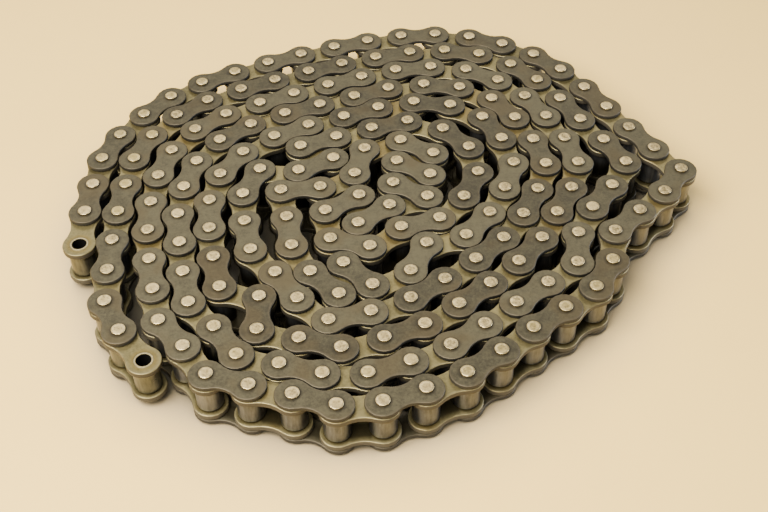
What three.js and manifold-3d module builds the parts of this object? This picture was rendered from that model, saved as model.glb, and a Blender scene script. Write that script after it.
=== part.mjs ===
// A five metre length of 25.4 mm pitch roller chain, wound double from its middle and laid flat on its side.
// Millimetres, +Z up. The origin is the middle of the footprint, on the surface that the pin ends stand on.
// The chain is one line of 198 joints. Link 0 joins joints 0 and 1, and the two ends are roller links.
import * as THREE from "three";
import { mergeVertices } from "three/addons/utils/BufferGeometryUtils.js";
import Module from "manifold-3d";

const wasm = await Module();
wasm.setup();

// Driving dimensions of the chain.
const pitch = 25.4;
const linkCount = 197;
const plateWidth = 20.8; // across the round ends of every plate
const innerWaist = 15.4; // across the middle of a roller link's plate
const outerWaist = 14; // and of a pin link's plate
const innerWidth = 18; // between the roller link's plates
const innerPlateThickness = 4;
const outerPlateThickness = 3.1;
const sideClearance = 0.4; // between an inner plate and the outer plate beside it
const pinDiameter = 8.28;
const pinLength = 36.1;
const bushingDiameter = 11.8;
const boreDiameter = 9;
const rollerDiameter = 15.88;
const rollerLength = 16.4;
const pinChamfer = 0.5;
const fitGap = 0.3; // between pieces of a link that are separate here
const layGap = 0.25; // between neighbouring runs of the chain

// How the chain is divided into pieces, by link number.
// Each stretch starts where the chain lies nearly straight, so that no fold is cut in two.
const outerStarts = [2, 8, 14, 20, 26, 32, 38]; // the outermost run, whose rollers show between their plates
const innerStarts = [
  42, 48, 54, 60, 66, 74, 80, 86, 92, 96, 100, 116,
  122, 128, 134, 140, 146, 152, 158, 164, 170, 176, 182, 188,
];
const closingStart = 192; // the last few links before the second free end, at the outside again

// How round the outlines are: of the two free ends, and of the plainer runs between them.
const fineLobe = 8;
const fineWaist = 3;
const fineRound = 12;
const plainLobe = 8;
const plainRoller = 8;
const plainPin = 6;
const plainInnerWaist = 12.8; // straight flanks, so a little narrower in the middle than the hollow ones
const plainOuterWaist = 11.2;
const outermost = [14, 23, 35]; // a corner of these joints' round ends points straight out of the footprint

// The plates' outline: two round ends run into a hollow flank, an arc with its centre beside the plate.
const lobeRadius = plateWidth / 2;
function flankOf(waistWidth) {
  const hollow = waistWidth / 2;
  const radius = (hollow ** 2 + (pitch / 2) ** 2 - lobeRadius ** 2) / (2 * (lobeRadius - hollow));
  const aside = hollow + radius;
  const angle = Math.atan2(aside, pitch / 2); // here a round end turns into the flank
  return { radius, aside, angle };
}
const innerFlank = flankOf(innerWaist);
const outerFlank = flankOf(outerWaist);

// Heights above the surface, all measured from the chain's middle plane.
const middle = pinLength / 2;
const innerFace = innerWidth / 2;
const innerPlateBack = innerFace + innerPlateThickness;
const outerPlateFace = innerPlateBack + sideClearance;
const outerPlateBack = outerPlateFace + outerPlateThickness;

// The lie of the chain: a joint's number and where it rests. The joints between settle into place.
const lay = [
  // from the first free end, clockwise round the outside
  [0, -192, -41], [2, -191, 10], [3, -189, 35], [6, -151, 100], [9, -85, 138], [12, -13, 163],
  [15, 62, 166], [18, 125, 125], [21, 164, 59], [22, 177, 38], [23, 191, 17], [24, 177, -4],
  [26, 140, -39], [27, 135, -64], [29, 102, -102], [30, 82, -117], [32, 42, -149], [34, -5, -168],
  [36, -54, -162], [39, -118, -127],
  // the second and third turns of the same run
  [42, -146, -58], [46, -144, 42], [48, -110, 80], [51, -41, 111], [54, 32, 130], [59, 119, 49],
  [60, 125, 25], [66, 40, -98], [67, 20, -113], [71, -77, -115], [72, -77, -90], [73, -101, -82],
  [74, -107, -57], [76, -114, -7], [78, -96, 40], [81, -29, 75], [84, 44, 87], [86, 77, 50], [88, 75, 1],
  [90, 48, -41],
  // the tangle of short folds in the middle
  [91, 23, -48], [92, 13, -71], [93, -10, -82], [94, -28, -63], [96, -48, -70], [98, -64, -23],
  [99, -69, 2], [101, -22, 17], [102, -15, 42], [104, 30, 36], [105, 6, 29], [108, 25, -6],
  [110, -19, -29], [112, -40, -18], [114, -12, -50], [116, 32, -26], [118, 59, 17], [120, 38, 61],
  [124, -58, 45], [125, -36, 32], [126, -58, 21],
  // back outwards beside the first run, to the second free end
  [128, -93, -1], [132, -55, -92], [138, 71, -44], [141, 104, 24], [144, 74, 93], [150, -70, 80],
  [153, -126, 31], [156, -129, -44], [162, -38, -148], [165, 34, -129], [168, 94, -82], [169, 114, -66],
  [171, 129, -18], [172, 144, 2], [174, 145, 47], [175, 132, 69], [177, 107, 113], [180, 43, 150],
  [184, -55, 127], [186, -102, 107], [189, -159, 58], [192, -171, -16], [194, -170, -67],
  [196, -156, -115], [197, -140, -134],
];

// A smooth first guess: each joint on a cubic curve through the joints on either side of it in the list.
function firstGuess() {
  const slope = (k) => {
    const before = lay[Math.max(k - 1, 0)];
    const after = lay[Math.min(k + 1, lay.length - 1)];
    return [1, 2].map((c) => (after[c] - before[c]) / (after[0] - before[0]));
  };
  return Array.from({ length: linkCount + 1 }, (_, joint) => {
    const k = Math.min(lay.findLastIndex((row) => row[0] <= joint), lay.length - 2);
    const span = lay[k + 1][0] - lay[k][0];
    const t = (joint - lay[k][0]) / span;
    const [leave, arrive] = [slope(k), slope(k + 1)];
    const place = (c) =>
      (2 * t ** 3 - 3 * t ** 2 + 1) * lay[k][c] +
      (t ** 3 - 2 * t ** 2 + t) * span * leave[c - 1] +
      (3 * t ** 2 - 2 * t ** 3) * lay[k + 1][c] +
      (t ** 3 - t ** 2) * span * arrive[c - 1];
    return new THREE.Vector2(place(1), place(2));
  });
}

// Settles the joints: links get their exact pitch, and plates that overlap push each other apart.
function settle(joints) {
  const rounds = 500;
  const pullingRounds = 400; // after these the listed joints are let go
  const lobeReach = plateWidth + layGap;
  const nudge = new THREE.Vector2();
  const link = new THREE.Vector2();
  for (let round = 0; round < rounds; round++) {
    if (round < pullingRounds) {
      const pull = 0.3 * (1 - round / rounds) ** 1.5;
      for (const [joint, x, y] of lay) joints[joint].lerp(nudge.set(x, y), pull);
    }
    for (let i = 0; i < joints.length; i++)
      for (let j = i + 2; j < joints.length; j++) {
        const apart = nudge.subVectors(joints[j], joints[i]).length();
        if (apart >= lobeReach) continue;
        nudge.multiplyScalar((lobeReach - apart) / apart / 2);
        joints[i].sub(nudge);
        joints[j].add(nudge);
      }
    // A round end also stays clear of the waist of every other link.
    for (let i = 0; i < linkCount; i++)
      for (let k = 0; k < joints.length; k++) {
        if (k === i || k === i + 1) continue;
        link.subVectors(joints[i + 1], joints[i]).divideScalar(pitch);
        nudge.subVectors(joints[k], joints[i]);
        const along = link.dot(nudge) / pitch;
        const aside = link.cross(nudge);
        const waistReach = (plateWidth + (i % 2 ? outerWaist : innerWaist)) / 2 + layGap;
        if (Math.abs(along - 0.5) > 0.14 || Math.abs(aside) >= waistReach) continue;
        nudge.set(-link.y, link.x).multiplyScalar((Math.sign(aside) * waistReach - aside) / 2);
        joints[k].add(nudge);
        joints[i].addScaledVector(nudge, -0.5);
        joints[i + 1].addScaledVector(nudge, -0.5);
      }
    for (let pass = 0; pass < 4; pass++)
      for (let i = 0; i < linkCount; i++) {
        nudge.subVectors(joints[i + 1], joints[i]);
        nudge.multiplyScalar((nudge.length() - pitch) / nudge.length() / 2);
        joints[i].add(nudge);
        joints[i + 1].sub(nudge);
      }
  }
  return joints;
}

const joints = settle(firstGuess());

// The outline of a plate, with its holes at 0,0 and pitch,0.
function plateOutline({ radius, aside, angle }) {
  const points = [];
  const arc = (x, y, size, from, to, steps, skip) => {
    for (let s = skip; s <= steps - skip; s++) {
      const turn = from + ((to - from) * s) / steps;
      points.push(new THREE.Vector2(x + size * Math.cos(turn), y + size * Math.sin(turn)));
    }
  };
  arc(0, 0, lobeRadius, angle, 2 * Math.PI - angle, fineLobe, 0);
  arc(pitch / 2, -aside, radius, Math.PI - angle, angle, fineWaist, 1);
  arc(pitch, 0, lobeRadius, angle - Math.PI, Math.PI - angle, fineLobe, 0);
  arc(pitch / 2, aside, radius, -angle, angle - Math.PI, fineWaist, 1);
  return points;
}

// A regular outline round a point.
function ring(center, radius, steps, turn = 0) {
  return Array.from({ length: steps }, (_, s) => {
    const angle = turn + (2 * Math.PI * (s + 0.5)) / steps;
    return new THREE.Vector2(center.x + radius * Math.cos(angle), center.y + radius * Math.sin(angle));
  });
}

// A flat piece of one outline, with holes, between two heights from the chain's middle plane.
function slab(outline, low, high, holes = [], chamfer = 0) {
  const shape = new THREE.Shape(outline);
  shape.holes = holes.map((hole) => new THREE.Path(hole));
  const geometry = new THREE.ExtrudeGeometry(shape, {
    depth: high - low - 2 * chamfer,
    bevelEnabled: chamfer > 0,
    bevelThickness: chamfer,
    bevelSize: chamfer,
    bevelOffset: -chamfer,
    bevelSegments: 1,
  });
  return geometry.translate(0, 0, middle + low + chamfer);
}

const steel = {
  tan: { color: 0x8f8260, roughness: 0.45, metalness: 0.75 },
  dark: { color: 0x5b5248, roughness: 0.5, metalness: 0.7 },
  grey: { color: 0x7c7468, roughness: 0.4, metalness: 0.8 },
  bright: { color: 0xcfc6b8, roughness: 0.3, metalness: 0.9 },
};

const chain = new THREE.Group();
chain.name = "roller_chain";

function add(name, geometry, finish) {
  const mesh = new THREE.Mesh(geometry, new THREE.MeshStandardMaterial(finish));
  mesh.name = name;
  chain.add(mesh);
}

// A free end in full: its roller link turns on the first pin of the pin link beside it.
function freeEnd(name, freeJoint, step) {
  const rollerLink = step > 0 ? freeJoint : freeJoint - 1;
  const pinLink = rollerLink + step;
  const [free, held, far] = [0, 1, 2].map((count) => joints[freeJoint + count * step]);
  const angleOf = (link) => joints[link + 1].clone().sub(joints[link]).angle();
  const plate = (link, low, high, holeDiameter) => {
    const centers = [new THREE.Vector2(0, 0), new THREE.Vector2(pitch, 0)];
    const holes = centers.map((center) => ring(center, holeDiameter / 2, fineRound));
    const outline = plateOutline(link === pinLink ? outerFlank : innerFlank);
    const geometry = slab(outline, low, high, holes).rotateZ(angleOf(link));
    return geometry.translate(joints[link].x, joints[link].y, 0);
  };
  const tube = (center, outside, inside, length, chamfer = 0) => {
    const turn = angleOf(rollerLink);
    const holes = inside ? [ring(center, inside / 2, fineRound, turn)] : [];
    return slab(ring(center, outside / 2, fineRound, turn), -length / 2, length / 2, holes, chamfer);
  };
  const pressHole = bushingDiameter + 2 * fitGap;
  add(name + "_upper_inner_plate", plate(rollerLink, innerFace, innerPlateBack, pressHole), steel.tan);
  add(name + "_lower_inner_plate", plate(rollerLink, -innerPlateBack, -innerFace, pressHole), steel.tan);
  add(name + "_free_bushing", tube(free, bushingDiameter, boreDiameter, 2 * innerPlateBack), steel.bright);
  add(name + "_held_bushing", tube(held, bushingDiameter, boreDiameter, 2 * innerPlateBack), steel.bright);
  add(name + "_free_roller", tube(free, rollerDiameter, pressHole, rollerLength), steel.grey);
  add(name + "_held_roller", tube(held, rollerDiameter, pressHole, rollerLength), steel.grey);
  const pinHole = pinDiameter + 2 * fitGap;
  add(name + "_upper_outer_plate", plate(pinLink, outerPlateFace, outerPlateBack, pinHole), steel.dark);
  add(name + "_lower_outer_plate", plate(pinLink, -outerPlateBack, -outerPlateFace, pinHole), steel.dark);
  add(name + "_held_pin", tube(held, pinDiameter, 0, pinLength, pinChamfer), steel.bright);
  add(name + "_far_pin", tube(far, pinDiameter, 0, pinLength, pinChamfer), steel.bright);
}

// The many-sided round end that every plate on a joint shares, turned to the run of the chain there.
function lobe(joint, reach = 0) {
  const before = joints[Math.max(joint - 1, 0)];
  const after = joints[Math.min(joint + 1, linkCount)];
  const turn = outermost.includes(joint) ? Math.PI / plainLobe : after.clone().sub(before).angle();
  return ring(joints[joint], lobeRadius + reach, plainLobe, turn);
}

function jointRing(joint, diameter, steps) {
  const toCorner = lobe(joint)[0].clone().sub(joints[joint]);
  return ring(joints[joint], diameter / 2, steps, toCorner.angle() - Math.PI / steps);
}

// The waist of a plain link. Its ends are the corners of each lobe where the flanks begin.
function waist(link, growth = 1) {
  const [from, to] = [joints[link], joints[link + 1]];
  const along = to.clone().sub(from).divideScalar(pitch);
  const side = new THREE.Vector2(-along.y, along.x);
  const flankCorner = (joint, inward, sign) => {
    const turned = lobe(joint).map((corner) => {
      const arm = corner.clone().sub(joints[joint]);
      const turn = Math.atan2(arm.dot(side) * sign, arm.dot(along) * inward); // away from the other joint
      return { corner, turn };
    });
    return turned.filter(({ turn }) => turn > outerFlank.angle).sort((a, b) => a.turn - b.turn)[0].corner;
  };
  const across = link % 2 ? plainOuterWaist : plainInnerWaist;
  const middlePoint = (sign) => from.clone().lerp(to, 0.5).addScaledVector(side, (sign * across) / 2);
  const corners = [
    flankCorner(link, 1, -1),
    middlePoint(-1),
    flankCorner(link + 1, -1, -1),
    flankCorner(link + 1, -1, 1),
    middlePoint(1),
    flankCorner(link, 1, 1),
  ];
  const center = from.clone().lerp(to, 0.5);
  return corners.map((corner) => corner.sub(center).multiplyScalar(growth).add(center));
}

function solid(geometry) {
  geometry.deleteAttribute("normal");
  geometry.deleteAttribute("uv");
  const merged = mergeVertices(geometry, 1e-4);
  const vertProperties = merged.attributes.position.array;
  const triVerts = new Uint32Array(merged.index.array);
  return new wasm.Manifold(new wasm.Mesh({ numProp: 3, vertProperties, triVerts }));
}

function joined(pieces) {
  return pieces.map(solid).reduce((whole, piece) => whole.add(piece));
}

function geometryOf(whole) {
  const mesh = whole.getMesh();
  const geometry = new THREE.BufferGeometry();
  geometry.setAttribute("position", new THREE.BufferAttribute(mesh.vertProperties, 3));
  geometry.setIndex(new THREE.BufferAttribute(mesh.triVerts, 1));
  return geometry;
}

function bothSides(outline, low, high) {
  return [slab(outline, low, high), slab(outline, -high, -low)];
}

// A stretch of the chain as one solid. It starts with a roller link, on the last pin of the one before.
// An open one has its plates and rollers. A closed one shows plates and pins on top and is solid below them.
function stretch(name, first, last, open, afterOpen, beforeOpen) {
  const pieces = [];
  const endsInPin = last % 2 === 1;
  for (let link = first; link <= last; link++) {
    const [face, back] = link % 2 ? [outerPlateFace, outerPlateBack] : [innerFace, innerPlateBack];
    if (open) pieces.push(...bothSides(waist(link), face, back));
    else pieces.push(slab(waist(link), -outerPlateBack, back));
  }
  for (let joint = first; joint <= last + 1; joint++) {
    const isInside = joint > first && joint <= last;
    const isClosed = !open || (joint === last + 1 && endsInPin && !beforeOpen);
    const isBored = (joint === first && afterOpen) || (joint === last + 1 && !endsInPin);
    if (isClosed && joint > first) pieces.push(slab(lobe(joint), -outerPlateBack, outerPlateBack));
    else if (isInside) pieces.push(...bothSides(lobe(joint), innerFace, outerPlateBack));
    else if (isBored) pieces.push(...bothSides(lobe(joint), innerFace, innerPlateBack));
    else if (joint > first) pieces.push(...bothSides(lobe(joint), outerPlateFace, outerPlateBack));
    if (open && (isInside || isBored))
      pieces.push(slab(jointRing(joint, rollerDiameter, plainRoller), -innerFace, innerFace));
    if (isInside || (joint === last + 1 && endsInPin))
      pieces.push(slab(jointRing(joint, pinDiameter, plainPin), open ? -middle : 0, middle));
  }
  let whole = joined(pieces);
  const bore = (joint) => solid(slab(jointRing(joint, boreDiameter, fineRound), -middle, middle));
  if (afterOpen) whole = whole.subtract(bore(first));
  else
    for (const outline of [lobe(first, fitGap), waist(first - 1, 1.06)])
      whole = whole.subtract(solid(slab(outline, -middle, middle)));
  if (!endsInPin) whole = whole.subtract(bore(last + 1));
  const geometry = geometryOf(whole).toNonIndexed();
  geometry.computeVertexNormals();
  add(name, geometry, open ? steel.dark : steel.tan);
}

freeEnd("first_end", 0, 1);
freeEnd("second_end", linkCount, -1);
outerStarts.forEach((first, k) => {
  const next = outerStarts[k + 1] ?? innerStarts[0];
  stretch("outer_run_" + (k + 1), first, next - 1, true, true, next < innerStarts[0]);
});
innerStarts.forEach((first, k) => {
  stretch("inner_run_" + (k + 1), first, (innerStarts[k + 1] ?? closingStart) - 1, false, false, false);
});
stretch("closing_run", closingStart, linkCount - 3, true, false, true);

// The origin goes to the middle of the footprint.
const footprint = new THREE.Box3().setFromObject(chain).getCenter(new THREE.Vector3());
for (const mesh of chain.children) mesh.geometry.translate(-footprint.x, -footprint.y, 0);

export default chain;
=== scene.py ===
# A five metre length of roller chain, wound double from its middle and lying on its side on a pale bench.
import bmesh
import bpy
import math
import random
from mathutils import Matrix, Vector


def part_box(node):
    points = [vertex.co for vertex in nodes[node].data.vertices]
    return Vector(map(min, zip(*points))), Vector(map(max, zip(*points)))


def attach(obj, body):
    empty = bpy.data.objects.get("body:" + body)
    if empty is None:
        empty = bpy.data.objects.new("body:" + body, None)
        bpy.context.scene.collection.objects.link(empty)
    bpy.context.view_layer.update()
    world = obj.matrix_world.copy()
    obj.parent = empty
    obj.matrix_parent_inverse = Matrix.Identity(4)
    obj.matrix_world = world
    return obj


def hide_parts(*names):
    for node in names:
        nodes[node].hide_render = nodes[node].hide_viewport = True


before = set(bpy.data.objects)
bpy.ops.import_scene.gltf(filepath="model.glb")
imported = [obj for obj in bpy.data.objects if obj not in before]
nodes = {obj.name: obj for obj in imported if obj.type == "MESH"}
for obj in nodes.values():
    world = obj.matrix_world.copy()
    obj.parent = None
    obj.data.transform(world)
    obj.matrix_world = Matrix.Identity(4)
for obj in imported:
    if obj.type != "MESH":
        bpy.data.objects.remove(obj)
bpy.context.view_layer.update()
scene = bpy.context.scene
mm = 0.001
toMm = 1000.0
print("frame loaded,", len(nodes), "solids")


# The camera stands where the photograph was taken from. Its tilt is in degrees below the horizontal.
cameraSpec = {
    "place": (-2.75, -554.73, 546.89), "tilt": 45.928, "roll": -0.823,
    "lens": 55.06, "sensor": 36, "nearest": 0.01,
}

eye = bpy.data.objects.new("camera", bpy.data.cameras.new("camera"))
eye.data.lens = cameraSpec["lens"]
eye.data.sensor_width = cameraSpec["sensor"]
eye.data.clip_start = cameraSpec["nearest"]
scene.collection.objects.link(eye)
eye.matrix_world = (
    Matrix.Translation(Vector(cameraSpec["place"]) * mm)
    @ Matrix.Rotation(math.radians(90 - cameraSpec["tilt"]), 4, "X")
    @ Matrix.Rotation(math.radians(cameraSpec["roll"]), 4, "Z")
)
scene.camera = eye
print("camera placed")


# Sizes of the chain in millimetres. Heights are from its middle plane, read from the first free end.
def heightsOf(part):
    return [corner.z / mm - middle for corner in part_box("first_end_" + part)]


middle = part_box("first_end_held_pin")[1].z / mm / 2
chain = {
    "pitch": 25.4, "lobe": 10.39, "innerWaist": 7.7, "outerWaist": 7.0,
    "roller": 7.94, "bushing": 5.9, "pin": 4.14,
}
chain["innerFace"], chain["innerBack"] = heightsOf("upper_inner_plate")
chain["outerFace"], chain["outerBack"] = heightsOf("upper_outer_plate")
plateHeights = {part: round(size, 2) for part, size in chain.items() if part.endswith(("Face", "Back"))}
print("plates between", plateHeights)


# A plate's flank is an arc with its centre beside the plate: its radius, how far aside, where it begins.
def flankOf(waist):
    radius = (waist ** 2 + (chain["pitch"] / 2) ** 2 - chain["lobe"] ** 2) / (2 * (chain["lobe"] - waist))
    return radius, waist + radius, math.atan2(waist + radius, chain["pitch"] / 2)


# One value in a material's nodes. Sums and products of such values add their Math nodes.
class Value:
    def __init__(self, finish, socket):
        self.finish = finish
        self.socket = socket

    def calc(self, operation, *values):
        settings = {"operation": operation}
        return self.finish.node("ShaderNodeMath", settings, dict(enumerate(values)))

    def __add__(self, other):
        return self.calc("ADD", self, other)

    def __radd__(self, other):
        return self.calc("ADD", other, self)

    def __sub__(self, other):
        return self.calc("SUBTRACT", self, other)

    def __rsub__(self, other):
        return self.calc("SUBTRACT", other, self)

    def __mul__(self, other):
        return self.calc("MULTIPLY", self, other)

    def __rmul__(self, other):
        return self.calc("MULTIPLY", other, self)

    def __abs__(self):
        return self.calc("ABSOLUTE", self)

    def __pow__(self, power):
        return self.calc("POWER", self, power)


# A material under construction, with one method for every node.
class Finish:
    def __init__(self, name, **surface):
        self.material = bpy.data.materials.new(name)
        self.material.use_nodes = True
        self.tree = self.material.node_tree
        self.shader = self.tree.nodes["Principled BSDF"]
        for socket, value in surface.items():
            self.shader.inputs[socket.replace("_", " ")].default_value = value

    def node(self, kind, settings=None, inputs=None, output=0):
        made = self.tree.nodes.new(kind)
        for name, value in (settings or {}).items():
            setattr(made, name, value)
        for name, value in (inputs or {}).items():
            if isinstance(value, Value):
                self.tree.links.new(value.socket, made.inputs[name])
            else:
                made.inputs[name].default_value = value
        return Value(self, made.outputs[output])

    def parts(self, vector):
        return [self.node("ShaderNodeSeparateXYZ", {}, {0: vector}, axis) for axis in range(3)]

    def place(self):
        return self.node("ShaderNodeTexCoord", output=3)  # the object's own coordinates, in metres

    def local(self, layer):
        return self.node("ShaderNodeUVMap", {"uv_map": layer})

    def noise(self, where, scale, detail=3.0, rough=0.5):
        inputs = {"Vector": where, "Scale": scale, "Detail": detail, "Roughness": rough}
        return self.node("ShaderNodeTexNoise", {}, inputs)

    def step(self, value, low, high):  # 0 below low, 1 above high, smooth between
        settings = {"interpolation_type": "SMOOTHSTEP"}
        inputs = {"Value": value, "From Min": low, "From Max": high}
        return self.node("ShaderNodeMapRange", settings, inputs)

    def mix(self, factor, first, second):
        return self.node("ShaderNodeMix", {"data_type": "RGBA"}, {0: factor, 6: first, 7: second}, 2)

    def bump(self, height, strength, distance):
        inputs = {"Height": height, "Strength": strength, "Distance": distance}
        return self.node("ShaderNodeBump", {}, inputs)

    def connect(self, **values):
        for name, value in values.items():
            self.tree.links.new(value.socket, self.shader.inputs[name.replace("_", " ")])


def colour(*screen):  # three screen values 0-255 to the values that nodes take
    return [c / 255 / 12.92 if c < 10 else ((c / 255 + 0.055) / 1.055) ** 2.4 for c in screen] + [1]


# Both kinds of plate: mottled heat-treated steel, their eased rims lighter with wear and a painted
# highlight, and darker round the pins with oil and painted shade.
plateLooks = {
    "pinLinkSteel": {
        "dark": (39, 37, 29), "light": (72, 69, 54), "rim": (66, 61, 49), "stain": (60, 51, 33),
        "wall": (20, 19, 16), "outerRunWall": (34, 32, 27), "benchLitWall": (38, 36, 31),
        "oilShadeFilm": (24, 21, 16), "oilShadeReach": 2.2, "metal": 0.45, "rough": 0.42, "wearAndHighlight": 0.5,
        "waist": "outerWaist", "hole": "pin", "heights": ("outerFace", "outerBack"),
    },
    "rollerLinkSteel": {
        "dark": (75, 70, 47), "light": (111, 104, 73), "rim": (124, 118, 93), "stain": (104, 86, 42),
        "wall": (34, 32, 26), "outerRunWall": (50, 47, 40), "benchLitWall": (60, 57, 49),
        "oilShadeFilm": (92, 78, 36), "oilShadeReach": 3.0, "metal": 0.7, "rough": 0.34, "wearAndHighlight": 0.28,
        "waist": "innerWaist", "hole": "bushing", "heights": ("innerFace", "innerBack"),
    },
}
# What both kinds share: how fine the patterns are, and where and how strongly wear, stains, oil, painted
# highlights, painted shade and painted light from the bench show.
plateWear = {
    "blotchScale": 140.0, "grainScale": 620.0, "smearScale": 45.0, "mottle": (0.48, 1.02),
    "stained": (0.62, 0.86), "stainMost": 0.45, "wearAndHighlightReach": 1.2, "wearAndHighlightPatches": (0.25, 0.6),
    "waistBlend": (5.0, 7.0), "benchLitBelow": (9.0, 20.0), "oilAndShadeMost": 0.5,
    "undersideOilAndShade": (1.0, 5.0), "undersideOilAndShadeMost": 0.85, "bump": 0.22, "bumpDepth": 0.00006,
}

# Painted shade inside the coil: full below the first height and none above the second, in millimetres. The
# inside colour is oil and painted shade on the plates' inner faces.
insideShade = {
    "inside": (30, 27, 16), "deep": (40, 37, 26),
    "heights": (13.0, 28.0), "ragged": 3.0, "patchScale": 120.0,
}


def shadeLowInside(finish, base):  # painted shade low down between the inner runs, where the coil shades itself
    where = finish.place()
    height = finish.parts(where)[2] * toMm
    deep = finish.parts(finish.local("deep"))[0]
    ragged = finish.noise(where, insideShade["patchScale"], 2.0) * insideShade["ragged"] - insideShade["ragged"] / 2
    inShade = deep * (1 - finish.step(height + ragged, *insideShade["heights"]))
    return finish.mix(inShade, base, colour(*insideShade["deep"]))


def plateFinish(name):
    look = plateLooks[name]
    wear = plateWear
    flank, flankY, _ = flankOf(chain[look["waist"]])
    face, back = [chain[height] for height in look["heights"]]
    finish = Finish(name, Specular_IOR_Level=0.25)
    across, along, _ = finish.parts(finish.local("across"))
    x = abs(across * toMm)
    y = abs(along * toMm)
    fromHole = ((x - chain["pitch"] / 2) ** 2 + y ** 2) ** 0.5
    fromFlank = (x ** 2 + (y - flankY) ** 2) ** 0.5 - flank
    inWaist = 1 - finish.step(x, *wear["waistBlend"])
    edge = (1 - inWaist) * (chain["lobe"] - fromHole) + inWaist * fromFlank
    up, _, _ = finish.parts(finish.local("up"))
    rim = plateSpec["rim"]
    onFace = 1 - finish.step(up * toMm, face + 0.02, face + rim)
    fromMiddle = abs(up * toMm - (face + back) / 2)
    onWall = 1 - finish.step(fromMiddle, (back - face) / 2 - rim, (back - face) / 2 - rim * 0.7)
    where = finish.place()
    lot, lotTwo, _ = finish.parts(finish.local("lot"))
    blotches = finish.noise(where, wear["blotchScale"], 4.0, 0.6)
    grain = finish.noise(where, wear["grainScale"], 4.0, 0.75)
    smear = finish.noise(where, wear["smearScale"], 2.0, 0.5)
    tone = finish.step(blotches * 0.4 + grain * 0.75 + lot * 0.2 + smear * 0.2, *wear["mottle"])
    base = finish.mix(tone, colour(*look["dark"]), colour(*look["light"]))
    stained = finish.step(smear + lotTwo * 0.25, *wear["stained"]) * wear["stainMost"]
    base = finish.mix(stained, base, colour(*look["stain"]))
    # Rims lighter in patches: partly wear, partly a painted highlight.
    nearRim = 1 - finish.step(edge, rim, rim + wear["wearAndHighlightReach"])
    wearAndHighlight = nearRim * finish.step(blotches + lotTwo * 0.2, *wear["wearAndHighlightPatches"])
    base = finish.mix(wearAndHighlight * look["wearAndHighlight"], base, colour(*look["rim"]))
    # The walls: painted shade makes those of the inner runs darker, and painted light from the bench makes
    # the low ones lighter.
    deep = finish.parts(finish.local("deep"))[0]
    low = 1 - finish.step(finish.parts(where)[2] * toMm, *wear["benchLitBelow"])
    wall = finish.mix(low, colour(*look["outerRunWall"]), colour(*look["benchLitWall"]))
    wall = finish.mix(deep, wall, colour(*look["wall"]))
    base = finish.mix(onWall, base, wall)
    # Round the pins the plates are darker: partly oil, partly painted shade.
    fromRim = fromHole + blotches * 1.4 - 0.7 - chain[look["hole"]]
    oilAndShade = (1 - finish.step(fromRim, look["oilShadeReach"] * 0.3, look["oilShadeReach"])) * wear["oilAndShadeMost"]
    base = finish.mix(oilAndShade, base, colour(*look["oilShadeFilm"]))
    # Inner faces darker away from their rims: partly oil, partly painted shade where other parts cover
    # them.
    insideFaceOilAndShade = onFace * finish.step(edge + blotches, *wear["undersideOilAndShade"]) * wear["undersideOilAndShadeMost"]
    base = finish.mix(insideFaceOilAndShade, base, colour(*insideShade["inside"]))
    base = shadeLowInside(finish, base)
    roughness = look["rough"] + grain * 0.18 + blotches * 0.12 - 0.14 - oilAndShade * 0.1 + wearAndHighlight * 0.1
    finish.connect(
        Base_Color=base,
        Metallic=look["metal"] * (1 - onWall * 0.8),
        Roughness=roughness + onWall * 0.1,
        Normal=finish.bump(grain + blotches * 0.4, wear["bump"], wear["bumpDepth"]),
    )
    return finish.material


# The pin ends: bright steel, hammered a little uneven, with a painted highlight ring near the edge and
# brown sides darkened by oil and painted shade.
pinLook = {
    "bright": (182, 164, 118), "ring": (222, 205, 160), "dull": (98, 89, 64),
    "tint": (140, 128, 72), "side": (62, 55, 42),
    "grainScale": 1900.0, "cloudScale": 650.0, "hammerScale": 480.0, "mottle": (0.42, 0.98),
    "tinted": (0.86, 1.0), "tintMost": 0.55,
    "dimple": (0.3, 1.2), "dimplePatches": (0.45, 0.7), "dimpleMost": 0.4,
    "sideOilAndShadeMost": 0.85, "bump": 0.55, "bumpDepth": 0.0003,
}


def pinFinish():
    finish = Finish("pinSteel", Metallic=0.85)
    across, along, _ = finish.parts(finish.local("across"))
    up, _, _ = finish.parts(finish.local("up"))
    lot, lotTwo, _ = finish.parts(finish.local("lot"))
    radius = ((across * toMm) ** 2 + (along * toMm) ** 2) ** 0.5
    where = finish.place()
    grain = finish.noise(where, pinLook["grainScale"], 3.0, 0.6)
    cloud = finish.noise(where, pinLook["cloudScale"], 2.0, 0.6)
    hammered = finish.noise(where, pinLook["hammerScale"], 1.0, 0.4)
    tone = finish.step(cloud + grain * 0.3 + lot * 0.2, *pinLook["mottle"])
    base = finish.mix(tone, colour(*pinLook["dull"]), colour(*pinLook["bright"]))
    tinted = finish.step(lotTwo, *pinLook["tinted"]) * pinLook["tintMost"]
    base = finish.mix(tinted, base, colour(*pinLook["tint"]))
    dimple = (1 - finish.step(radius, *pinLook["dimple"])) * finish.step(cloud, *pinLook["dimplePatches"])
    base = finish.mix(dimple * pinLook["dimpleMost"], base, colour(*pinLook["side"]))
    # A painted highlight: a lighter ring near the edge of the end.
    ring = finish.step(radius, pinSpec["crown"] - 0.5, pinSpec["crown"] + 0.3) * (0.1 + cloud * 0.35)
    base = finish.mix(ring, base, colour(*pinLook["ring"]))
    # The sides below the chamfer are darker: partly oil, partly painted shade.
    shoulder = pinSpec["end"] - pinSpec["chamfer"]
    side = 1 - finish.step(abs(up * toMm), shoulder - 0.15, shoulder + 0.05)
    base = finish.mix(side * pinLook["sideOilAndShadeMost"], base, colour(*pinLook["side"]))
    finish.connect(
        Base_Color=base,
        Roughness=0.26 + grain * 0.2,
        Normal=finish.bump(hammered + grain * 0.12, pinLook["bump"], pinLook["bumpDepth"]),
    )
    return finish.material


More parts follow.
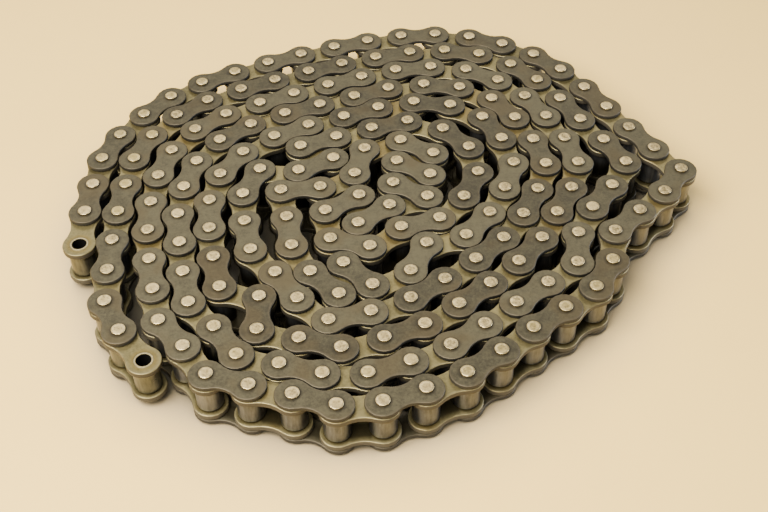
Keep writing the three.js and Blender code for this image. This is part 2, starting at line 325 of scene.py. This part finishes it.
# The rollers: smooth drawn steel, clouded, their ends darkened by oil and painted shade where they meet the
# plates. Those of the free ends are a darker copy, as painted shade.
rollerLooks = {
    "rollerSteel": {"dark": (46, 48, 50), "light": (108, 110, 114), "oilAndShade": (20, 18, 14)},
    # The free ends' rollers are a darker copy of the same steel, as painted shade.
    "endRollerShadedSteel": {"dark": (40, 42, 38), "light": (97, 98, 91), "oilAndShade": (20, 18, 12)},
}
rollerWear = {
    "streakScale": 700.0, "streakHeight": 0.15, "blotchScale": 160.0, "mottle": (0.16, 1.04),
    "oilyAndShadedEnds": (7.5, 8.6), "oilAndShadeMost": 0.75, "bump": 0.08, "bumpDepth": 0.00004,
}


def rollerFinish(name):
    look = rollerLooks[name]
    wear = rollerWear
    finish = Finish(name, Metallic=0.9, Specular_IOR_Level=0.25)
    where = finish.place()
    lot, _, _ = finish.parts(finish.local("lot"))
    up, _, _ = finish.parts(finish.local("up"))
    drawn = (1.0, 1.0, wear["streakHeight"])
    stretched = finish.node("ShaderNodeMapping", {}, {"Vector": where, "Scale": drawn})
    streaks = finish.noise(stretched, wear["streakScale"], 3.0, 0.6)
    blotches = finish.noise(where, wear["blotchScale"], 3.0, 0.6)
    tone = finish.step(streaks * 0.65 + blotches * 0.4 + lot * 0.2, *wear["mottle"])
    base = finish.mix(tone, colour(*look["dark"]), colour(*look["light"]))
    # The ends are darker: partly oil, partly painted shade where the rollers meet the plates.
    ends = finish.step(abs(up * toMm) + blotches * 1.2, *wear["oilyAndShadedEnds"])
    base = shadeLowInside(finish, finish.mix(ends * wear["oilAndShadeMost"], base, colour(*look["oilAndShade"])))
    finish.connect(
        Base_Color=base,
        Roughness=0.24 + blotches * 0.12,
        Normal=finish.bump(streaks, wear["bump"], wear["bumpDepth"]),
    )
    return finish.material


# The bushings at the free ends: a bright ground ring round a bore painted near black as shade.
bushingLook = {
    "ring": (160, 150, 116), "dull": (118, 110, 82), "edge": (60, 52, 34), "bore": (8, 7, 6),
    "grainScale": 900.0, "mottle": (0.3, 0.7), "edgeMost": 0.7, "bump": 0.1, "bumpDepth": 0.00005,
}


def bushingFinish():
    finish = Finish("bushingSteel", Metallic=0.8)
    across, along, _ = finish.parts(finish.local("across"))
    radius = ((across * toMm) ** 2 + (along * toMm) ** 2) ** 0.5
    where = finish.place()
    grain = finish.noise(where, bushingLook["grainScale"], 3.0, 0.6)
    tone = finish.step(grain, *bushingLook["mottle"])
    base = finish.mix(tone, colour(*bushingLook["dull"]), colour(*bushingLook["ring"]))
    ringEdge = finish.step(radius, chain["bushing"] - 0.5, chain["bushing"] - 0.2)
    base = finish.mix(ringEdge * bushingLook["edgeMost"], base, colour(*bushingLook["edge"]))
    boreWall = chain["bushing"] - bushingSpec["freeWall"]
    # Painted shade: the bore is painted near black.
    inBore = 1 - finish.step(radius, boreWall + 0.05, boreWall + 0.3)
    base = finish.mix(inBore, base, colour(*bushingLook["bore"]))
    finish.connect(
        Base_Color=base,
        Roughness=0.28 + grain * 0.2 + inBore * 0.3,
        Normal=finish.bump(grain, bushingLook["bump"], bushingLook["bumpDepth"]),
    )
    return finish.material


# Small helpers for modelling by hand.
def begin(shape, **size):
    bpy.ops.object.select_all(action="DESELECT")
    shape(**size)
    bpy.ops.object.mode_set(mode="EDIT")
    bpy.ops.mesh.select_mode(type="VERT")
    bpy.ops.mesh.select_all(action="SELECT")


def pick(kind, test):  # kind is "edges" or "faces"
    bpy.ops.mesh.select_mode(type="EDGE" if kind == "edges" else "FACE")
    bpy.ops.mesh.select_all(action="DESELECT")
    mesh = bmesh.from_edit_mesh(bpy.context.object.data)
    for part in getattr(mesh, kind):
        if all(test(corner.co / mm) for corner in part.verts):
            part.select_set(True)
    bmesh.update_edit_mesh(bpy.context.object.data)


def atHeight(height, slack=0.001):
    return lambda point: abs(point.z - height) < slack


# Ends the modelling of a pattern. Its faces stay flat, and its eased rims turn smoothly between them.
# Every copy carries where a point lies on the piece, a lot number and how deep in the coil it belongs.
def putDown(name, material, angle=60):
    bpy.ops.mesh.select_all(action="SELECT")
    bpy.ops.mesh.normals_make_consistent(inside=False)
    bpy.ops.object.mode_set(mode="OBJECT")
    bpy.ops.object.shade_smooth_by_angle(angle=math.radians(angle))
    pattern = bpy.context.object
    pattern.name = name
    weighted = pattern.modifiers.new("flat faces", "WEIGHTED_NORMAL")
    weighted.keep_sharp = True
    bpy.ops.object.modifier_apply(modifier=weighted.name)
    while pattern.data.uv_layers:
        pattern.data.uv_layers.remove(pattern.data.uv_layers[0])
    across = pattern.data.uv_layers.new(name="across")
    up = pattern.data.uv_layers.new(name="up")
    for loop in pattern.data.loops:
        point = pattern.data.vertices[loop.vertex_index].co
        across.uv[loop.index].vector = point.xy
        up.uv[loop.index].vector = (point.z, 0)
    pattern.data.uv_layers.new(name="lot")
    pattern.data.uv_layers.new(name="deep")
    pattern.data.materials.clear()
    pattern.data.materials.append(material)
    patterns.append(pattern)
    return pattern


patterns = []


# A plate is one point spun round both lobes and both flanks, then filled, raised and eased at its rims.
plateSpec = {"lobeSteps": 13, "flankSteps": 5, "rim": 0.6, "weld": 0.01}


def drawPlate(name, waist, face, back, material, hole=0.0, fine=1):
    half = chain["pitch"] / 2
    _, flankY, flankAngle = flankOf(waist)
    corner = (chain["lobe"] * math.cos(flankAngle) - half, chain["lobe"] * math.sin(flankAngle), face)
    begin(bpy.ops.mesh.primitive_circle_add, vertices=3, radius=mm)
    bpy.ops.mesh.merge(type="CENTER")
    bpy.ops.transform.translate(value=Vector(corner) * mm)
    arcs = [
        (plateSpec["lobeSteps"], 2 * math.pi - 2 * flankAngle, (-half, 0, face)),
        (plateSpec["flankSteps"], 2 * flankAngle - math.pi, (0, -flankY, face)),
        (plateSpec["lobeSteps"], 2 * math.pi - 2 * flankAngle, (half, 0, face)),
        (plateSpec["flankSteps"], 2 * flankAngle - math.pi, (0, flankY, face)),
    ]
    for steps, turn, center in arcs:
        bpy.ops.mesh.spin(steps=steps * fine, angle=turn, center=Vector(center) * mm, axis=(0, 0, -1))
    bpy.ops.mesh.select_all(action="SELECT")
    bpy.ops.mesh.remove_doubles(threshold=plateSpec["weld"] * mm)
    bpy.ops.mesh.edge_face_add()
    bpy.ops.mesh.extrude_region_move(TRANSFORM_OT_translate={"value": (0, 0, (back - face) * mm)})
    for height in (face, back):
        pick("edges", atHeight(height))
        bpy.ops.mesh.bevel(offset=plateSpec["rim"] * mm, segments=fine, affect="EDGES")
    if hole:
        drillHoles(hole, face, back)
    return putDown(name, material)


drillSpec = {"sides": 32, "depth": 10}


def drillHoles(diameter, face, back):
    bpy.ops.object.mode_set(mode="OBJECT")
    plate = bpy.context.object
    for side in (-1, 1):
        bpy.ops.object.select_all(action="DESELECT")
        place = Vector((side * chain["pitch"] / 2, 0, (face + back) / 2)) * mm
        size = {"radius": diameter / 2 * mm, "depth": drillSpec["depth"] * mm}
        bpy.ops.mesh.primitive_cylinder_add(vertices=drillSpec["sides"], location=place, **size)
        drill = bpy.context.object
        cut = plate.modifiers.new("hole", "BOOLEAN")
        cut.operation = "DIFFERENCE"
        cut.object = drill
        bpy.context.view_layer.objects.active = plate
        bpy.ops.object.modifier_apply(modifier=cut.name)
        bpy.data.objects.remove(drill)
    plate.select_set(True)
    bpy.ops.object.mode_set(mode="EDIT")


# A pin: its end is chamfered, and hammered very slightly domed. The end is measured from the middle plane.
pinSpec = {"end": 17.79, "chamfer": 0.25, "crown": 2.6, "crownRise": 0.2, "sides": 20}


def drawPin(name, fine=1):
    spec = pinSpec
    size = {"radius": chain["pin"] * mm, "depth": 2 * spec["end"] * mm}
    begin(bpy.ops.mesh.primitive_cylinder_add, vertices=spec["sides"] * fine, **size)
    for sign in (-1, 1):
        pick("edges", atHeight(sign * spec["end"]))
        bpy.ops.mesh.bevel(offset=spec["chamfer"] * mm, segments=fine, affect="EDGES")
        pick("faces", atHeight(sign * spec["end"]))
        bpy.ops.mesh.inset(thickness=(chain["pin"] - spec["chamfer"] - spec["crown"]) * mm)
        bpy.ops.transform.translate(value=(0, 0, sign * spec["crownRise"] * mm))
    return putDown(name, steel["pinSteel"])


rollerSpec = {"length": 16.4, "ease": 0.6, "sides": 24}


def drawRoller(name):
    spec = rollerSpec
    size = {"radius": chain["roller"] * mm, "depth": spec["length"] * mm}
    begin(bpy.ops.mesh.primitive_cylinder_add, vertices=spec["sides"], **size)
    for end in (-spec["length"] / 2, spec["length"] / 2):
        pick("edges", atHeight(end))
        bpy.ops.mesh.bevel(offset=spec["ease"] * mm, segments=1, affect="EDGES")
    return putDown(name, steel["rollerSteel"])


# A bushing shows only in the gaps between its roller and the plates.
bushingSpec = {"sides": 12, "freeWall": 1.5, "freeEase": 0.3}


def drawBushing(name):
    size = {"radius": chain["bushing"] * mm, "depth": 2 * chain["innerFace"] * mm}
    size |= {"vertices": bushingSpec["sides"], "end_fill_type": "NOTHING"}
    begin(bpy.ops.mesh.primitive_cylinder_add, **size)
    return putDown(name, steel["rollerSteel"])


# An open tube for the free ends, where the bores show.
tubeSpec = {"sides": 48, "easeSteps": 2}


def drawTube(name, radius, wall, length, material, ease):
    size = {"radius": radius * mm, "depth": length * mm}
    size |= {"vertices": tubeSpec["sides"], "end_fill_type": "NOTHING"}
    begin(bpy.ops.mesh.primitive_cylinder_add, **size)
    bpy.ops.mesh.normals_make_consistent(inside=False)
    bpy.ops.object.mode_set(mode="OBJECT")
    tube = bpy.context.object
    thick = tube.modifiers.new("wall", "SOLIDIFY")
    thick.thickness = wall * mm
    thick.offset = -1
    eased = tube.modifiers.new("eased", "BEVEL")
    eased.width = ease * mm
    eased.segments = tubeSpec["easeSteps"]
    eased.limit_method = "ANGLE"
    for modifier in (thick, eased):
        bpy.ops.object.modifier_apply(modifier=modifier.name)
    bpy.ops.object.mode_set(mode="EDIT")
    return putDown(name, material)


# The steels are mixed, and one pattern of every piece is drawn. Those of the free ends are finer.
steel = {name: plateFinish(name) for name in plateLooks}
steel["pinSteel"] = pinFinish()
steel |= {name: rollerFinish(name) for name in rollerLooks}
steel["bushingSteel"] = bushingFinish()
print("finishes mixed:", len(steel))

fits = {"hole": 0.02, "flush": 0.02, "roller": 0.2}  # clearances in millimetres
outerSizes = (chain["outerWaist"], chain["outerFace"], chain["outerBack"], steel["pinLinkSteel"])
innerSizes = (chain["innerWaist"], chain["innerFace"], chain["innerBack"], steel["rollerLinkSteel"])
rollerWall = chain["roller"] - chain["bushing"] - fits["roller"]
tubeSizes = (chain["bushing"], bushingSpec["freeWall"], 2 * chain["innerBack"] - fits["flush"])
outerUp = drawPlate("outerPlate", *outerSizes)
innerUp = drawPlate("innerPlate", *innerSizes)
pinUp = drawPin("pin")
rollerUp = drawRoller("roller")
bushingUp = drawBushing("bushing")
endOuter = drawPlate("endOuterPlate", *outerSizes, 2 * chain["pin"] + fits["hole"], 2)
endInner = drawPlate("endInnerPlate", *innerSizes, 2 * chain["bushing"] + fits["hole"], 2)
endPin = drawPin("endPin", 2)
rollerSizes = (chain["roller"], rollerWall, rollerSpec["length"])
endRoller = drawTube("endRoller", *rollerSizes, steel["endRollerShadedSteel"], rollerSpec["ease"])
endBushing = drawTube("endBushing", *tubeSizes, steel["bushingSteel"], bushingSpec["freeEase"])
print("patterns drawn:", {pattern.name: len(pattern.data.polygons) for pattern in patterns})


# The joints of the chain in order, read from where the solids' pins stand. Distances are in millimetres.
tracing = {"belowTop": 0.1, "onePin": 10, "oneCorner": 0.05, "slack": 0.02}


def pinTops(node):
    rings = []
    for point in nodes[node].data.vertices:
        if point.co.z < (2 * middle - tracing["belowTop"]) * mm:
            continue
        near = [ring for ring in rings if (ring[0] - point.co.xy).length < tracing["onePin"] * mm]
        ring = near[0] if near else []
        if not near:
            rings.append(ring)
        if all((other - point.co.xy).length > tracing["oneCorner"] * mm for other in ring):
            ring.append(point.co.xy.copy())
    return [sum(ring, Vector((0, 0))) / len(ring) for ring in rings]


def inOrder(start, points):  # each pin is one pitch from the one before
    if not points:
        return []
    for point in points:
        if abs((point - start).length - chain["pitch"] * mm) < tracing["slack"] * mm:
            rest = inOrder(point, [other for other in points if other is not point])
            if rest is not None:
                return [point] + rest
    return None


def centreOf(node):
    low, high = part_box(node)
    return ((low + high) / 2).xy


def numbered(start):
    found = [name for name in nodes if name.startswith(start)]
    return sorted(found, key=lambda name: int(name.split("_")[-1]))


endNodes = ["free_bushing", "held_pin", "far_pin"]
outside = numbered("outer_run_")
stretches = outside + numbered("inner_run_") + ["closing_run"]
joints = [centreOf("first_end_" + part) for part in endNodes]
reach = {}  # the first and last link of each stretch
for name in stretches:
    found = inOrder(joints[-1], pinTops(name))
    reach[name] = (len(joints) - 1, len(joints) - 2 + len(found))
    joints += found
joints += [centreOf("second_end_" + part) for part in reversed(endNodes)]
reach["closing_run"] = (reach["closing_run"][0], reach["closing_run"][1] + 1)
print("joints found:", len(joints))


def onJoint(joint, turn=0.0, lift=0.0):
    return Matrix.Translation((*joints[joint], (middle + lift) * mm)) @ Matrix.Rotation(turn, 4, "Z")


def onLink(link, upper=True):
    start, end = joints[link], joints[link + 1]
    run = end - start
    place = Matrix.Translation((*((start + end) / 2), middle * mm))
    place = place @ Matrix.Rotation(math.atan2(run.y, run.x), 4, "Z")
    return place if upper else place @ Matrix.Rotation(math.pi, 4, "X")


# How the pieces are laid: pins and rollers are turned at random, and pins stand a little high or low.
laySpec = {"seed": 16, "turn": 6, "pinPlay": 0.06}
dice = random.Random(laySpec["seed"])


def copyOf(pattern, place, deep=0.0):
    copy = pattern.copy()
    copy.data = pattern.data.copy()
    copy.data.transform(place)
    lot = (dice.random(), dice.random())
    copy.data.uv_layers["lot"].uv.foreach_set("vector", lot * len(copy.data.loops))
    copy.data.uv_layers["deep"].uv.foreach_set("vector", (deep, 0.0) * len(copy.data.loops))
    scene.collection.objects.link(copy)
    return copy


def joinInto(name, pieces):
    bpy.ops.object.select_all(action="DESELECT")
    for piece in pieces:
        piece.select_set(True)
    bpy.context.view_layer.objects.active = pieces[0]
    bpy.ops.object.join()
    pieces[0].name = name
    return pieces[0]


def finishNode(piece, body, slot, *standsFor):
    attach(piece, body)
    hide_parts(*standsFor)


# Every stretch gets its plates, pins, rollers and bushings.
for name in stretches:
    first, last = reach[name]
    deep = float(name.startswith("inner_run_"))
    made = []
    for link in range(first, last + 1):
        plate = outerUp if link % 2 else innerUp
        made.append(copyOf(plate, onLink(link), deep))
        made.append(copyOf(plate, onLink(link, False), deep))
        for joint in (link, link + 1):
            turn = dice.uniform(0, laySpec["turn"])
            if link % 2:
                lift = dice.uniform(-laySpec["pinPlay"], laySpec["pinPlay"])
                made.append(copyOf(pinUp, onJoint(joint, turn, lift), deep))
            else:
                made.append(copyOf(rollerUp, onJoint(joint, turn), deep))
                made.append(copyOf(bushingUp, onJoint(joint), deep))
    piece = joinInto(name + "_links", made)
    finishNode(piece, "coil", "outer_runs" if name in outside else "inner_runs", name)
print("stretches laid:", len(stretches))

# The free ends, piece by piece.
for end, free, step in (("first_end", 0, 1), ("second_end", len(joints) - 1, -1)):
    rollerLink = free if step > 0 else free - 1
    pinLink = rollerLink + step
    held, far = free + step, free + 2 * step
    swinging = end + "_link"
    plan = [
        ("upper_inner_plate", endInner, onLink(rollerLink), swinging, "roller_link_plates"),
        ("lower_inner_plate", endInner, onLink(rollerLink, False), swinging, "roller_link_plates"),
        ("free_bushing", endBushing, onJoint(free), swinging, "bushings"),
        ("held_bushing", endBushing, onJoint(held), swinging, "bushings"),
        ("free_roller", endRoller, onJoint(free), swinging, "rollers"),
        ("held_roller", endRoller, onJoint(held), swinging, "rollers"),
        ("upper_outer_plate", endOuter, onLink(pinLink), "coil", "pin_link_plates"),
        ("lower_outer_plate", endOuter, onLink(pinLink, False), "coil", "pin_link_plates"),
        ("held_pin", endPin, onJoint(held), "coil", "pins"),
        ("far_pin", endPin, onJoint(far), "coil", "pins"),
    ]
    for part, pattern, place, body, slot in plan:
        piece = copyOf(pattern, place)
        piece.name = end + "_" + part + "_finished"
        finishNode(piece, body, slot, end + "_" + part)
for pattern in patterns:
    bpy.data.objects.remove(pattern)
print("free ends laid")


# The bench is a plain pale floor, with painted shade where the coil stands close over it.
floorSpec = {
    "size": 8.0, "colour": (214, 183, 104), "rough": 0.4,
    "halfShade": (152, 139, 114), "shade": (62, 61, 54), "shadeReach": 0.055, "shadeRays": 16,
    "near": (0.45, 1.05), "nearMost": 0.85, "under": (0.1, 0.75), "underMost": 0.95,
    "cloudScale": 6.0, "cloudTone": 0.96,
}


def benchFinish():
    finish = Finish("paleBench", Specular_IOR_Level=0.4)
    cloud = finish.noise(finish.place(), floorSpec["cloudScale"], 4.0, 0.6)
    clouded = [c * floorSpec["cloudTone"] for c in floorSpec["colour"]]
    base = finish.mix(cloud, colour(*floorSpec["colour"]), colour(*clouded))
    rays = {"samples": floorSpec["shadeRays"]}
    reach = {"Distance": floorSpec["shadeReach"]}
    openAbove = finish.node("ShaderNodeAmbientOcclusion", rays, reach, 1)
    near = (1 - finish.step(openAbove, *floorSpec["near"])) * floorSpec["nearMost"]
    under = (1 - finish.step(openAbove, *floorSpec["under"])) * floorSpec["underMost"]
    base = finish.mix(near, base, colour(*floorSpec["halfShade"]))
    base = finish.mix(under, base, colour(*floorSpec["shade"]))
    finish.connect(Base_Color=base, Roughness=floorSpec["rough"] + cloud * 0.12)
    return finish.material


begin(bpy.ops.mesh.primitive_plane_add, size=floorSpec["size"])
bpy.ops.object.mode_set(mode="OBJECT")
bench = bpy.context.object
bench.name = "bench"
bench.data.materials.append(benchFinish())


# Soft studio light: a wide panel at the front left, one beyond the coil, a small one in front for the rims,
# and a low cool one far off at the right, for the rims that face it.
lightSpecs = {
    "front": {"place": (-0.6, -0.6, 1.15), "size": (1.1, 0.9), "power": 112, "tint": (1.0, 0.9, 0.75)},
    "beyond": {"place": (-0.2, 1.75, 1.85), "size": (2.4, 1.0), "power": 29, "tint": (1.0, 0.92, 0.78)},
    "rims": {"place": (0.3, -1.3, 1.5), "size": (0.5, 0.4), "power": 18, "tint": (0.98, 0.95, 0.9)},
    "window": {"place": (2.6, 0.25, 0.42), "size": (1.9, 0.42), "power": 110, "tint": (0.8, 0.87, 1.0)},
}
for name, spec in lightSpecs.items():
    lamp = bpy.data.lights.new(name, "AREA")
    lamp.shape = "RECTANGLE"
    lamp.size, lamp.size_y = spec["size"]
    lamp.energy = spec["power"]
    lamp.color = spec["tint"]
    stand = bpy.data.objects.new(name, lamp)
    stand.location = spec["place"]
    stand.rotation_euler = (-Vector(spec["place"])).to_track_quat("-Z", "Y").to_euler()
    scene.collection.objects.link(stand)

worldSpec = {"tint": (1.0, 0.92, 0.78, 1), "strength": 0.36}
world = bpy.data.worlds.new("studio")
world.use_nodes = True
surround = world.node_tree.nodes["Background"]
surround.inputs["Color"].default_value = worldSpec["tint"]
surround.inputs["Strength"].default_value = worldSpec["strength"]
scene.world = world
print("bench and lights set")
